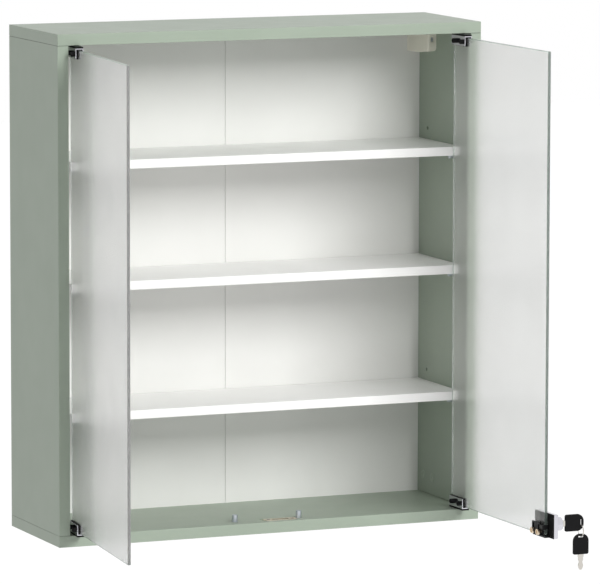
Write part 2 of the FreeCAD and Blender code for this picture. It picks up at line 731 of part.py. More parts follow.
def hanger(name):
    """Housing, hook and adjusting screw in one upper rear corner."""
    side = SIDES[name]
    mid = f"{side}*{HANGER_MID_X}"
    body = new_body("hanger_housing_" + name)
    level = f"({BACK_FACE}-hanger_level_deep)"
    outline = [
        (HANGER_FRONT, "-hanger_front_drop"),
        (level, "-hanger_drop"),
        (BACK_FACE, "-hanger_drop"),
        (BACK_FACE, HANGER_TOP),
        (HANGER_FRONT, HANGER_TOP),
    ]
    solid(body, "case", "YZ", [outline], *across(side, HANGER_REAR_X, IN_X))
    beside = [
        (f"{side}*{HANGER_X}", HANGER_FRONT),
        (f"{side}*{HANGER_REAR_X}", HANGER_FRONT),
        (f"{side}*{HANGER_REAR_X}", BACK_FACE),
    ]
    hollow(body, "taper", "XY", [beside], "-hanger_drop", HANGER_TOP)
    soften(body, "nose", "Fillet", "hanger_nose_round",
           lambda edge: straight(edge, Vector(1, 0, 0)) and near(edge.CenterOfMass.y, HANGER_FRONT)
           and near(edge.CenterOfMass.z, "-hanger_front_drop"))
    soften(body, "corner", "Fillet", "hanger_side_round",
           lambda edge: straight(edge, Vector(0, 0, 1)) and near(edge.CenterOfMass.y, HANGER_FRONT)
           and near(edge.CenterOfMass.x, f"{side}*{HANGER_X}"))
    room = rect(ROOM_FRONT, f"{BACK_FACE}-hanger_wall",
                "hanger_floor-hanger_drop", f"{HANGER_TOP}-hanger_wall")
    hollow(body, "room", "YZ", [room], *across(side, HANGER_ROOM_X, IN_X))
    doorway = rect(f"{BACK_FACE}-hanger_wall", BACK_FACE, WINDOW_LOW, WINDOW_HIGH)
    hollow(body, "doorway", "YZ", [doorway], *across(side, HANGER_ROOM_X, IN_X))
    window = rect(f"{mid}-hanger_window_wide/2", f"{mid}+hanger_window_wide/2",
                  "adjuster_rise-hanger_window_high/2", "adjuster_rise+hanger_window_high/2")
    hollow(body, "window", "XZ", [window], HANGER_FRONT, DISC_FRONT)
    seat = (mid, "adjuster_rise", "adjuster_radius+peg_clearance")
    hollow(body, "seat", "XZ", [seat], DISC_FRONT, ROOM_FRONT)
    studs = [(f"{BACK_FACE}-{inset}", "stud_rise", "stud_radius") for inset in STUD_INSETS]
    solid(body, "studs", "YZ", studs, *across(side, HANGER_ROOM_X, f"{IN_X}+stud_long"))
    node(body, "hanger_housing_" + name)

    hook = new_body("hanger_hook_" + name)
    tongue_front = "(-tongue_wall_gap-tongue_thick)"
    profile = [
        (LEAF_FRONT, "0"),
        (tongue_front, "0"),
        (tongue_front, "-tongue_drop"),
        ("-tongue_wall_gap", "-tongue_drop"),
        ("-tongue_wall_gap", "hook_arm_high"),
        (LEAF_FRONT, "hook_arm_high"),
    ]
    solid(hook, "arm", "YZ", [profile], *across(side, HOOK_X, f"{HOOK_X}+hook_thick"))
    leaf = rect(f"{side}*{HOOK_X}", f"{side}*({HOOK_X}+hook_leaf_wide)",
                "adjuster_rise-hook_leaf_high/2", "adjuster_rise+hook_leaf_high/2")
    solid(hook, "leaf", "XZ", [leaf], LEAF_FRONT, f"{LEAF_FRONT}+hook_thick")
    spare = "(adjuster_pin_radius+adjuster_play)"
    slot = rect(f"{mid}-{side}*{spare}", f"{mid}+{side}*(adjuster_throw+{spare})",
                f"adjuster_rise-{spare}", f"adjuster_rise+{spare}")
    hollow(hook, "pin_slot", "XZ", [slot], LEAF_FRONT, f"{LEAF_FRONT}+hook_thick")
    node(hook, "hanger_hook_" + name)

    disc = rod("adjuster_disc", "y", mid, (DISC_FRONT, ROOM_FRONT), "adjuster_rise", "adjuster_radius")
    through_leaf = (ROOM_FRONT, f"{LEAF_FRONT}+hook_thick")
    pin_x = f"{mid}+{side}*adjuster_throw"
    pin = rod("adjuster_pin", "y", pin_x, through_leaf, "adjuster_rise", "adjuster_pin_radius")
    sunk = (DISC_FRONT, f"{DISC_FRONT}+hanger_lip")
    narrow, wide = [[(f"{centre}-{half}", f"{centre}+{half}") for centre in (mid, "adjuster_rise")]
                    for half in ("adjuster_slot/2", "adjuster_drive_radius")]
    flat = box("drive_flat", wide[0], sunk, narrow[1])
    upright = box("drive_upright", narrow[0], sunk, wide[1])
    screw = cut("adjuster", fuse("adjuster_blank", disc, pin), fuse("drive", flat, upright))
    node(screw, "hanger_screw_" + name)


def channel(end, half, wall, web_low, web_high, edge):
    """A U outline round the glass edge: half width, wall, the web's two heights and the legs' edge."""
    near_web, far_web, tip = at_end(end, web_low), at_end(end, web_high), at_end(end, edge)
    inner = f"({half}-{wall})"
    return [
        (f"-{half}", near_web),
        (half, near_web),
        (half, tip),
        (inner, tip),
        (inner, far_web),
        (f"-{inner}", far_web),
        (f"-{inner}", tip),
        (f"-{half}", tip),
    ]


def along(door, first, last):
    """The lower and upper X of a span along a door, drawn with its pivot at the origin."""
    return (first, last) if door == "left" else (f"-({last})", f"-({first})")


def door_glass(door):
    """Satin glass sheet with bevelled edges."""
    body = new_body(door + "_door_glass")
    low, high = along(door, "-glass_heel", FREE_EDGE)
    outline = rect(low, high, at_end("bottom", "glass_end_gap"), at_end("top", "glass_end_gap"))
    solid(body, "sheet", "XZ", [outline], "-glass_thick/2", "glass_thick/2")
    soften(body, "arris", "Chamfer", "glass_arris")
    return node(on_door(body, door), door + "_door_glass")


def hinge_parts(door):
    """The clamps, liners, bearing pads and clamp screws at the two hinge corners of a door."""
    span = along(door, "-clamp_heel", CLAMP_END)
    half, wall = "(clamp_wide/2)", "clamp_wall"
    outward = door == "left"
    leg = (f"-{half}", f"{wall}-{half}") if outward else (f"{half}-{wall}", half)
    head_end = f"-{half}-clamp_head_long" if outward else f"{half}+clamp_head_long"
    places = [along(door, first, first)[0] for first in ("clamp_screw_first", "clamp_screw_second")]
    liners, pads, screws = [], [], []
    for end in ENDS:
        label = f"{door}_{end}_hinge_clamp"
        body = new_body(label)
        solid(body, "channel", "YZ", [channel(end, half, wall, WEB_OUTSIDE, WEB_INSIDE, LEG_EDGE)], *span)
        soften(body, "channel_edges", "Fillet", "clamp_round",
               lambda edge: straight(edge, Vector(1, 0, 0)) and near(abs(edge.CenterOfMass.y), half))
        screw_z = at_end(end, f"({WEB_OUTSIDE}+clamp_screw_rise)")
        holes = [(x, screw_z, "clamp_shank_radius+peg_clearance") for x in places]
        hollow(body, "screw_holes", "XZ", holes, *leg)
        node(on_door(body, door), label)

        liner = new_body("liner")
        liner_half, liner_wall = f"({half}-{wall})", f"({half}-{wall}-glass_thick/2)"
        liner_edge = f"({LEG_EDGE}+liner_proud)"
        outline = channel(end, liner_half, liner_wall, WEB_INSIDE, "glass_end_gap", liner_edge)
        solid(liner, "channel", "YZ", [outline], *along(door, "-clamp_heel", f"{CLAMP_END}+liner_proud"))
        liners.append(liner)

        strip = box("pad_strip", span, (f"pad_inset-{half}", f"{half}-pad_inset"),
                    end_span(end, f"({WEB_OUTSIDE}-pad_thick)", WEB_OUTSIDE))
        pin_span = end_span(end, f"({WEB_OUTSIDE}-pad_thick-pivot_long)", f"({WEB_OUTSIDE}-pad_thick)")
        pads.append(fuse("pad", strip, rod("pivot_pin", "z", "0", "0", pin_span, "pivot_radius")))

        for x in places:
            screws.append(clamp_screw(x, screw_z, leg, head_end))
    node(on_door(group("liners", liners), door), door + "_clamp_liners")
    node(on_door(group("pads", pads), door), door + "_pivot_pads")
    node(on_door(group("screws", screws), door), door + "_clamp_screws")


def clamp_screw(x, z, leg, head_end):
    """A black knob-headed screw through one leg of a clamp."""
    body = new_body("clamp_screw")
    head_span = (head_end, leg[0]) if value(head_end) < value(leg[0]) else (leg[1], head_end)
    solid(body, "head", "XZ", [(x, z, "clamp_head_radius")], *head_span)
    soften(body, "head_edge", "Fillet", "clamp_head_round",
           lambda edge: edge.Closed and near(edge.CenterOfMass.y, head_end))
    solid(body, "shank", "XZ", [(x, z, "clamp_shank_radius")], *leg)
    return body


def out(distance):
    """Y of a point this far outwards from the middle of the glass."""
    return f"(-{distance})"


def lock_body():
    """Housing, its back cover, cylinder, clamp bracket and guide screws, all fixed to the right door."""
    body = new_body("lock_housing")
    low, high = at_end("bottom", "lock_floor_gap"), at_end("bottom", "(lock_floor_gap+lock_high)")
    x = along("right", LOCK_NEAR, LOCK_FAR)
    solid(body, "case", "XZ", [rect(*x, low, high)], out(LOCK_FACE), out(PAD_FACE))
    soften(body, "case_edges", "Fillet", "lock_round",
           lambda edge: not near(edge.CenterOfMass.y, out(PAD_FACE)))
    room = rect(f"{x[0]}+lock_wall", f"{x[1]}-lock_wall", f"{low}+lock_wall", f"{high}-lock_wall")
    hollow(body, "room", "XZ", [room], out(f"({LOCK_FACE}-lock_wall)"), out(PAD_FACE))
    neck = (f"-{AXIS}", AXIS_Z, "neck_radius+peg_clearance")
    hollow(body, "neck_hole", "XZ", [neck], out(LOCK_FACE), out(f"({LOCK_FACE}-lock_wall)"))
    node(on_door(body, "right"), "lock_housing")

    pad = new_body("lock_back_pad")
    solid(pad, "cover", "XZ", [rect(*x, low, high)], out(PAD_FACE), out(LOCK_BACK))
    seat = rect(*along("right", LOCK_NEAR, FREE_EDGE), at_end("bottom", "glass_end_gap"), high)
    solid(pad, "seat", "XZ", [seat], out(LOCK_BACK), out("(glass_thick/2)"))
    way = rect(f"-{WEB_FAR}-fit_gap", f"-{FREE_EDGE}",
               at_end("bottom", "(bridge_low_rise-bolt_travel-fit_gap)"),
               at_end("bottom", "(bridge_high_rise+fit_gap)"))
    hollow(pad, "bridge_way", "XZ", [way], out(PAD_FACE), out("(glass_thick/2)"))
    node(on_door(pad, "right"), "lock_back_pad")

    barrel = new_body("lock_cylinder")
    axis = (f"-{AXIS}", AXIS_Z)
    solid(barrel, "drum", "XZ", [(*axis, "barrel_radius")], out(BARREL_FACE), out(LOCK_FACE))
    soften(barrel, "drum_edge", "Fillet", "barrel_round",
           lambda edge: near(edge.CenterOfMass.y, out(BARREL_FACE)))
    solid(barrel, "neck", "XZ", [(*axis, "neck_radius")], out(LOCK_FACE), out(f"({LOCK_FACE}-lock_wall)"))
    bore = (*axis, "plug_radius+plug_clearance")
    hollow(barrel, "bore", "XZ", [bore], out(BARREL_FACE), out(f"({LOCK_FACE}-lock_wall)"))
    node(on_door(barrel, "right"), "lock_cylinder")

    bracket = new_body("lock_clamp_bracket")
    foot_x = along("right", JAW_NEAR, f"({FREE_EDGE}+foot_beyond)")
    foot = rect(*foot_x, low, at_end("bottom", "(glass_end_gap-fit_gap)"))
    solid(bracket, "foot", "XZ", [foot], out(LOCK_BACK), JAW_BACK)
    jaw = rect(*along("right", JAW_NEAR, f"({JAW_NEAR}+jaw_long)"), low, at_end("bottom", "jaw_rise"))
    solid(bracket, "jaw", "XZ", [jaw], "glass_thick/2", JAW_BACK)
    guides = [(x, at_end("bottom", "guide_rise")) for x in GUIDES]
    holes = [(*guide, "guide_radius+peg_clearance") for guide in guides]
    hollow(bracket, "guide_holes", "XZ", holes, "glass_thick/2", JAW_BACK)
    node(on_door(bracket, "right"), "lock_clamp_bracket")

    screws = []
    head_y = f"({BOLT_BACK}+bolt_gap)"
    head_face = f"({head_y}+guide_head_long)"
    for x, z in guides:
        head = rod("guide_head", "y", x, (head_y, head_face), z, "guide_head_radius")
        shank = rod("guide_shank", "y", x, ("glass_thick/2+peg_clearance", head_y), z, "guide_radius")
        sunk = (f"{head_face}-guide_socket_deep", head_face)
        socket = rod("guide_socket", "y", x, sunk, z, "guide_socket_radius")
        screws.append(cut("guide_screw", fuse("guide_blank", head, shank), socket))
    node(on_door(group("guides", screws), "right"), "lock_guide_screws")


def lock_bolt():
    """Bolt plate behind the glass, with a bridge through the door gap to a fork that the plug's pin moves."""
    body = new_body("lock_bolt")
    foot, top = at_end("bottom", "bolt_foot_rise"), at_end("bottom", "bolt_top_rise")
    under, over = at_end("bottom", "bridge_low_rise"), at_end("bottom", "bridge_high_rise")
    plate = [
        (f"-{BOLT_NEAR}", foot),
        (f"-{BOLT_FAR}", foot),
        (f"-{BOLT_FAR}", under),
        (f"-{WEB_FAR}", under),
        (f"-{WEB_FAR}", over),
        (f"-{BOLT_FAR}", over),
        (f"-{BOLT_FAR}", top),
        (f"-{BOLT_NEAR}", top),
    ]
    solid(body, "plate", "XZ", [plate], BOLT_FACE, BOLT_BACK)
    web = rect(f"-{WEB_FAR}", f"-{WEB_NEAR}", under, over)
    solid(body, "web", "XZ", [web], out(ARM_FACE), BOLT_FACE)
    arm = rect(f"-{WEB_FAR}", f"arm_back-{FREE_EDGE}", under, at_end("bottom", "arm_top_rise"))
    solid(body, "arm", "XZ", [arm], out(ARM_FACE), out(ARM_BACK))
    pin_z = f"({AXIS_Z}+bolt_travel/2)"
    play = "(cam_pin_radius+cam_pin_play)"
    fork = rect(f"-{WEB_FAR}", f"arm_pin_deep-{WEB_FAR}", f"{pin_z}-{play}", f"{pin_z}+{play}")
    hollow(body, "fork", "XZ", [fork], out(ARM_FACE), out(ARM_BACK))
    clear = "(guide_radius+fit_gap)"
    guide_z = at_end("bottom", "guide_rise")
    slots, ends = [], []
    for x in GUIDES:
        slots.append(rect(f"{x}-{clear}", f"{x}+{clear}", guide_z, f"{guide_z}+bolt_travel"))
        ends += [(x, guide_z, clear), (x, f"{guide_z}+bolt_travel", clear)]
    hollow(body, "guide_slots", "XZ", slots, BOLT_FACE, BOLT_BACK)
    hollow(body, "guide_slot_ends", "XZ", ends, BOLT_FACE, BOLT_BACK)
    node(on_door(body, "right"), "lock_bolt")


def lock_plug():
    """Plug that the key turns, with a flange that keeps it in the cylinder and the pin for the bolt.

    The pin lies half the bolt's travel beside and above the axis, so a quarter turn brings it down by the
    whole travel.
    """
    x = f"-{AXIS}"
    face, shoulder, back = out(f"({BARREL_FACE}-plug_inset)"), out(FLANGE_FACE), out(FLANGE_BACK)
    core = rod("plug_core", "y", x, (face, shoulder), AXIS_Z, "plug_radius")
    flange = rod("plug_flange", "y", x, (shoulder, back), AXIS_Z, "plug_flange_radius")
    pin_span = (back, out(f"({ARM_BACK}+cam_pin_gap)"))
    pin = rod("plug_pin", "y", f"{x}+bolt_travel/2", pin_span, f"{AXIS_Z}+bolt_travel/2", "cam_pin_radius")
    wide, thick = "(blade_wide/2+keyway_clearance)", "(blade_thick/2+keyway_clearance)"
    keyway_x, keyway_z = (f"{x}-{thick}", f"{x}+{thick}"), (f"{AXIS_Z}-{wide}", f"{AXIS_Z}+{wide}")
    keyway = box("keyway", keyway_x, (face, back), keyway_z)
    node(on_door(cut("plug", fuse("plug_blank", core, flange, pin), keyway), "right"), "lock_plug")


def key(prefix, turn, y, z):
    """A key's bow and blade, drawn with the blade along +Z, then turned and placed on the right door."""
    bow = new_body(prefix + "_bow_form")
    plate = rect("-bow_wide/2", "bow_wide/2", "-bow_long", "0")
    solid(bow, "plate", "XZ", [plate], "-bow_thick/2", "bow_thick/2")
    soften(bow, "crown", "Fillet", "bow_round",
           lambda edge: straight(edge, Vector(0, 1, 0)) and near(edge.CenterOfMass.z, "-bow_long"))
    soften(bow, "heel", "Fillet", "bow_heel_round",
           lambda edge: straight(edge, Vector(0, 1, 0)) and near(edge.CenterOfMass.z, "0"))
    soften(bow, "rim", "Fillet", "bow_edge_round", lambda edge: near(abs(edge.CenterOfMass.y), "bow_thick/2"))
    slot_z = "(key_slot_inset-bow_long)"
    slot = rect("-key_slot_long/2", "key_slot_long/2",
                f"{slot_z}-key_slot_wide/2", f"{slot_z}+key_slot_wide/2")
    hollow(bow, "ring_slot", "XZ", [slot], "-bow_thick/2", "bow_thick/2")
    thick = "(blade_thick/2+peg_clearance)"
    tang_half = "(tang_wide/2+peg_clearance)"
    tang_room = rect(f"-{tang_half}", tang_half, "-tang_long-peg_clearance", "0")
    hollow(bow, "tang_room", "XZ", [tang_room], f"-{thick}", thick)

    blade = new_body(prefix + "_blade_form")
    one_side = [(f"{half}*blade_wide/2", f"{share}*blade_long") for share, half in BLADE_SHARES]
    other_side = [(f"-{x}", z_text) for x, z_text in reversed(one_side)]
    solid(blade, "blade", "XZ", [one_side + other_side], "-blade_thick/2", "blade_thick/2")
    tang = rect("-tang_wide/2", "tang_wide/2", "-tang_long", "0")
    solid(blade, "tang", "XZ", [tang], "-blade_thick/2", "blade_thick/2")
    for form, piece in ((bow, "bow"), (blade, "blade")):
        form.Placement = Placement(Vector(), turn)
        bind(form, Placement__Base__x=f"-{AXIS}", Placement__Base__y=y, Placement__Base__z=z)
        node(on_door(group(f"{prefix}_{piece}", [form]), "right"), f"{prefix}_{piece}")


def keys():
    """The key in the lock, the ring in its slot and the spare key that hangs from the ring."""
    into_lock = Rotation(Vector(0, 0, 1), Vector(1, 0, 0), Vector(0, 1, 0), "XYZ")
    tip_down = Rotation(Vector(0, -1, 0), Vector(-1, 0, 0), Vector(0, 0, -1), "XYZ")
    key("key", into_lock, out(BOW_FACE), AXIS_Z)
    key("spare_key", tip_down, out(SLOT_OUT), SPARE_FACE_Z)
    ring = doc.addObject("Part::Torus", "ring_wire")
    ring.Placement = Placement(Vector(), Rotation(Vector(1, 0, 0), 90))
    bind(ring, Radius1="ring_radius", Radius2="ring_wire_radius")
    bind(ring, Placement__Base__x=f"-{AXIS}", Placement__Base__y=out(SLOT_OUT), Placement__Base__z=RING_Z)
    node(on_door(group("ring", [ring]), "right"), "key_ring")


for end in ENDS:
    end_panel(end)
for name in SIDES:
    side_panel(name)
    back_half(name)
strip_y = ("-back_inset", "strip_thick-back_inset")
strip = box("strip", ("-strip_wide/2", "strip_wide/2"), strip_y, (BOTTOM_IN, TOP_IN))
node(strip, "back_joint_strip")
for name in SHELVES:
    shelf(name)
    shelf_supports(name)
connectors()
hinge_bushes()
strike_parts()
stop_pins()
for name in SIDES:
    hanger(name)
for door in SIDES:
    door_glass(door)
    hinge_parts(door)
lock_body()
lock_bolt()
lock_plug()
keys()
doc.recompute()

for thing in doc.Objects:
    if {"Invalid", "Error"} & set(thing.State):
        raise RuntimeError(f"{thing.Name} failed")
for thing in NODES:
    if thing.Shape.isNull() or not thing.Shape.isValid() or not thing.Shape.Solids:
        raise RuntimeError(f"{thing.Label} has no valid shape")

os.makedirs("parts", exist_ok=True)
for thing in NODES:
    thing.Shape.exportStep(f"parts/{thing.Label}.step")
    print(f"{thing.Label}: {len(thing.Shape.Solids)} solids, {thing.Shape.Volume:.0f} cubic mm")
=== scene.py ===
import json
import math

import bmesh
import bpy
from mathutils import Matrix, Vector


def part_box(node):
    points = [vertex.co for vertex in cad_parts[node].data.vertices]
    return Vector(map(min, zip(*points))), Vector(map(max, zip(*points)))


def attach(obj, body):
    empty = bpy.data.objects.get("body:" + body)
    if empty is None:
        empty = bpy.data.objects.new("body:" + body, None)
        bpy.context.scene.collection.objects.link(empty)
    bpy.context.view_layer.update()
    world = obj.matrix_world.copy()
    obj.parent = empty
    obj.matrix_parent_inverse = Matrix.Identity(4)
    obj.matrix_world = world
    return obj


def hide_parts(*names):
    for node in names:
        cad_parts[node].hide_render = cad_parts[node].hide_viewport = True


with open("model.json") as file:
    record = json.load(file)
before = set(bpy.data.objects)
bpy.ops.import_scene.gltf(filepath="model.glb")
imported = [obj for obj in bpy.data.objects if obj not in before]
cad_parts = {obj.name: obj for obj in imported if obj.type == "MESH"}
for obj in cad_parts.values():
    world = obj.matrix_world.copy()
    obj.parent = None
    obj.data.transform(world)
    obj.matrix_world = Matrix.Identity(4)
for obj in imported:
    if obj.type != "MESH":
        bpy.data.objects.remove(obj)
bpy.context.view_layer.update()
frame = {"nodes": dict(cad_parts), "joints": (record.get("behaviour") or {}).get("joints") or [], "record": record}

NODES = frame["nodes"]
SLOTS = {part["node"]: part["material_slot"] for part in frame["record"]["subparts"]}
BODY_OF = {node: body for body, nodes in frame["record"]["behaviour"]["bodies"].items() for node in nodes}
JOINTS = {joint["name"]: joint for joint in frame["joints"]}
MM = 0.001
WHITE = (1.0, 1.0, 1.0, 1.0)

# Camera at the photograph's viewing angle, in metres and degrees
CAMERA_PLACE = (-2.65755, -6.57263, 0.56607)
CAMERA_YAW, CAMERA_PITCH, CAMERA_ROLL = 22.8851, 7.2336, -0.0982
CAMERA_LENS = 317.956

# Boards: pocket under the strike plate, darkened with painted shade, and the dark line of painted shade where a
# side panel meets its neighbours
POCKET_DEEP = 3 * MM
JOINT_SHADE_WIDTH = 0.45 * MM
MASK_SOFT = 0.1 * MM
CORE_AND_SHADE_COLOUR = "4E4032"
PALE_SHARE, PALE_LIFT = 0.94, 0.05
JOINT_SHADE_COLOUR = "5C665A"

# Door glass: the heel reaches past the hinge axis, and the rim is the greener strip along the polished edges
GLASS_THICK = 4 * MM
GLASS_HEEL = 9.5 * MM
GLASS_LONG = 281 * MM
GLASS_RIM = 1.6 * MM
GLASS_TONES, GLASS_RIM_TONE = ("FAFBFA", "FDFDFC"), "D6EBE0"
GLASS_GRAIN, GLASS_TONE_SCALE, GLASS_DEEP = 1800.0, 4.0, 0.010 * MM
GLASS_ROUGH, GLASS_ROUGH_SCALE = (0.21, 0.23), 18.0
GLASS_PASSES = 0.9
GLASS_INDEX = 1.5

# Clamp screws: the head, its place off the glass and along it from the hinge axis, and above or below a panel
HEAD_RADIUS, HEAD_LONG = 3.2 * MM, 5.5 * MM
HEAD_SIDES, HEAD_RIBS, HEAD_RIB_DEEP = 72, 18, 0.07
CLAMP_HALF = 5.25 * MM
SCREWS_ALONG = (4 * MM, 26.5 * MM)
SCREW_RISE = 10 * MM

# Seeds of the random turns in which the fittings of each kind stand
SCREW_SEED, PIN_SEED, CAP_SEED = 7, 3, 5

# Shelf supports and cover caps
PIN_RADIUS, PIN_REACH, PIN_SIDES = 3.5 * MM, 8 * MM, 40
CAP_RADIUS, CAP_THICK, CAP_SIDES = 6.3 * MM, 0.8 * MM, 48

# Key ring: radii of the coil and of its wire, turns and steps of the coil
RING_RADIUS = 7.8 * MM
RING_WIRE = 0.38 * MM
RING_TURNS, RING_STEPS = 1.9, 64
# Where the wire climbs over itself: the rise in wire radii, and start and length as shares of the coil
RING_RISE, RING_CLIMB_START, RING_CLIMB_SHARE = 2.1, 0.42, 0.16

# Meshes, in degrees: edges sharper than the first stay crisp in shading, edges sharper than the second
# are eased, and faces that bend less than the third are joined
CRISP_ANGLE, EASED_ANGLE, FLAT_ANGLE = 35, 40, 0.5
MERGE_GAP = 0.001 * MM

# Noise of the shared shader groups: detail, and the part of its range that is spread out
GRAIN_DETAIL, TONE_DETAIL, GLOSS_DETAIL, WEAR_DETAIL = 3.0, 4.0, 5.0, 4.0
TONE_SPAN, GLOSS_SPAN, WEAR_SPAN = (0.3, 0.7), (0.32, 0.68), (0.35, 0.65)
WEAR_SCALE, WEAR_LEAST = 60.0, 0.25

# Studio: light of the surround, floor and lamps, in metres and watts
SURROUND_LIGHT = 0.46
FLOOR_HEIGHT, FLOOR_HALF = -1.3, 12.0
FLOOR_COLOUR, FLOOR_ROUGH = "F4F4F4", 0.9
FLOOR_GLOW, FLOOR_GLOW_SHARE = 1.12, 0.85
LAMPS = {
    "key_softbox": dict(place=(0.95, -3.95, 1.8), target=(0, -0.2, -0.3), size=1.8, power=150),
    "side_softbox": dict(place=(-3.4, -0.9, 0.3), target=(-0.3, -0.1, -0.3), size=2.0, power=9),
}

# Doors: how far each stands open, and the side that it hangs on
DOOR_OPEN = {"left": math.radians(96), "right": math.radians(91)}
DOOR_SIDE = {"left": -1, "right": 1}


def linear(code):
    """A colour written as six hexadecimal digits, as the shaders take it."""
    shares = [int(code[i:i + 2], 16) / 255 for i in (0, 2, 4)]
    return (*[c / 12.92 if c <= 0.04045 else ((c + 0.055) / 1.055) ** 2.4 for c in shares], 1.0)


# Shading: groups that several finishes share

def feed(tree, source, slot):
    """Link a socket to an input, or set the input to a plain number or colour."""
    if isinstance(source, bpy.types.NodeSocket):
        tree.links.new(source, slot)
    else:
        slot.default_value = source


def socket(sockets, identifier):
    """A socket found by its identifier, because several share a name."""
    return next(one for one in sockets if one.identifier == identifier)


def new_group(name, inputs, outputs):
    """An empty shader group with named sockets, and its two end nodes."""
    tree = bpy.data.node_groups.new(name, "ShaderNodeTree")
    for label, kind, default in inputs:
        tree.interface.new_socket(label, in_out="INPUT", socket_type=kind).default_value = default
    for label, kind in outputs:
        tree.interface.new_socket(label, in_out="OUTPUT", socket_type=kind)
    return tree, tree.nodes.new("NodeGroupInput"), tree.nodes.new("NodeGroupOutput")


def math_node(tree, operation, *sources, kind="ShaderNodeMath"):
    """A math node fed by sockets or plain numbers; its result."""
    node = tree.nodes.new(kind)
    node.operation = operation
    for slot, source in zip(node.inputs, sources):
        feed(tree, source, slot)
    return node.outputs[0]


def noise_at(tree, scale, detail):
    """Noise over the object's own coordinates."""
    place = tree.nodes.new("ShaderNodeTexCoord")
    noise = tree.nodes.new("ShaderNodeTexNoise")
    noise.inputs["Detail"].default_value = detail
    tree.links.new(place.outputs["Object"], noise.inputs["Vector"])
    feed(tree, scale, noise.inputs["Scale"])
    return noise.outputs["Fac"]


def ramp(tree, source, low, high, start=0.0, end=1.0):
    """A value carried smoothly from low..high to start..end; the four may be sockets."""
    node = tree.nodes.new("ShaderNodeMapRange")
    node.interpolation_type = "SMOOTHSTEP"
    tree.links.new(source, node.inputs["Value"])
    for label, amount in (("From Min", low), ("From Max", high), ("To Min", start), ("To Max", end)):
        feed(tree, amount, node.inputs[label])
    return node.outputs["Result"]


def make_surface_grain():
    """Fine texture height, and a slow unevenness of tone."""
    tree, entry, leave = new_group(
        "surface_grain",
        [("Grain scale", "NodeSocketFloat", 2000.0), ("Tone scale", "NodeSocketFloat", 9.0)],
        [("Height", "NodeSocketFloat"), ("Tone", "NodeSocketFloat")])
    tree.links.new(noise_at(tree, entry.outputs["Grain scale"], GRAIN_DETAIL), leave.inputs["Height"])
    slow = ramp(tree, noise_at(tree, entry.outputs["Tone scale"], TONE_DETAIL), *TONE_SPAN)
    tree.links.new(slow, leave.inputs["Tone"])
    return tree


def make_handled_gloss():
    """Roughness that varies between two values, as on a surface that is wiped and handled."""
    tree, entry, leave = new_group(
        "handled_gloss",
        [("Scale", "NodeSocketFloat", 30.0),
         ("Least", "NodeSocketFloat", 0.3), ("Most", "NodeSocketFloat", 0.5)],
        [("Roughness", "NodeSocketFloat")])
    noise = noise_at(tree, entry.outputs["Scale"], GLOSS_DETAIL)
    result = ramp(tree, noise, *GLOSS_SPAN, entry.outputs["Least"], entry.outputs["Most"])
    tree.links.new(result, leave.inputs["Roughness"])
    return tree


def border_distances(tree, entry):
    """How far a point of a board lies inside the board's box, along each axis of the board."""
    vector = "ShaderNodeVectorMath"
    place = tree.nodes.new("ShaderNodeTexCoord")
    offset = math_node(tree, "SUBTRACT", place.outputs["Object"], entry.outputs["Centre"], kind=vector)
    turn = tree.nodes.new("ShaderNodeVectorRotate")
    turn.rotation_type = "Z_AXIS"
    tree.links.new(offset, turn.inputs["Vector"])
    tree.links.new(entry.outputs["Turn"], turn.inputs["Angle"])
    inside = math_node(tree, "ABSOLUTE", turn.outputs["Vector"], kind=vector)
    inside = math_node(tree, "SUBTRACT", entry.outputs["Half size"], inside, kind=vector)
    parts = tree.nodes.new("ShaderNodeSeparateXYZ")
    tree.links.new(inside, parts.inputs[0])
    return parts.outputs


BOARD_INPUTS = [
    ("Centre", "NodeSocketVector", (0.0, 0.0, 0.0)),
    ("Half size", "NodeSocketVector", (1.0, 1.0, 1.0)),
    ("Turn", "NodeSocketFloat", 0.0),
    ("Width", "NodeSocketFloat", 0.001),
]


def make_edge_wear():
    """Mask along the edges of a board, broken up as rubbed edges are."""
    tree, entry, leave = new_group("edge_wear", BOARD_INPUTS, [("Mask", "NodeSocketFloat")])
    x, y, z = border_distances(tree, entry)
    low = math_node(tree, "MINIMUM", x, y)
    high = math_node(tree, "MAXIMUM", x, y)
    second = math_node(tree, "MAXIMUM", low, math_node(tree, "MINIMUM", high, z))
    line = ramp(tree, second, 0.0, entry.outputs["Width"], 1.0, 0.0)
    patches = ramp(tree, noise_at(tree, WEAR_SCALE, WEAR_DETAIL), *WEAR_SPAN, WEAR_LEAST, 1.0)
    tree.links.new(math_node(tree, "MULTIPLY", line, patches), leave.inputs["Mask"])
    return tree


def make_glass_rim():
    """Mask that rises towards the rim of an upright sheet."""
    tree, entry, leave = new_group("glass_rim", BOARD_INPUTS, [("Mask", "NodeSocketFloat")])
    x, _, z = border_distances(tree, entry)
    nearest = math_node(tree, "MINIMUM", x, z)
    tree.links.new(ramp(tree, nearest, 0.0, entry.outputs["Width"], 1.0, 0.0), leave.inputs["Mask"])
    return tree


def make_inside_box():
    """Mask inside a box, for the pocket's bare board darkened with painted shade, and for painted shade along
    joint lines.
    """
    tree, entry, leave = new_group("inside_box", BOARD_INPUTS, [("Mask", "NodeSocketFloat")])
    x, y, z = border_distances(tree, entry)
    nearest = math_node(tree, "MINIMUM", x, math_node(tree, "MINIMUM", y, z))
    tree.links.new(ramp(tree, nearest, 0.0, entry.outputs["Width"]), leave.inputs["Mask"])
    return tree


GROUPS = {
    "surface_grain": make_surface_grain(),
    "handled_gloss": make_handled_gloss(),
    "edge_wear": make_edge_wear(),
    "glass_rim": make_glass_rim(),
    "inside_box": make_inside_box(),
}


def use_group(tree, name, **numbers):
    """Place a shared group in a material with its own values."""
    node = tree.nodes.new("ShaderNodeGroup")
    node.node_tree = GROUPS[name]
    for label, number in numbers.items():
        node.inputs[label.replace("_", " ")].default_value = number
    return node


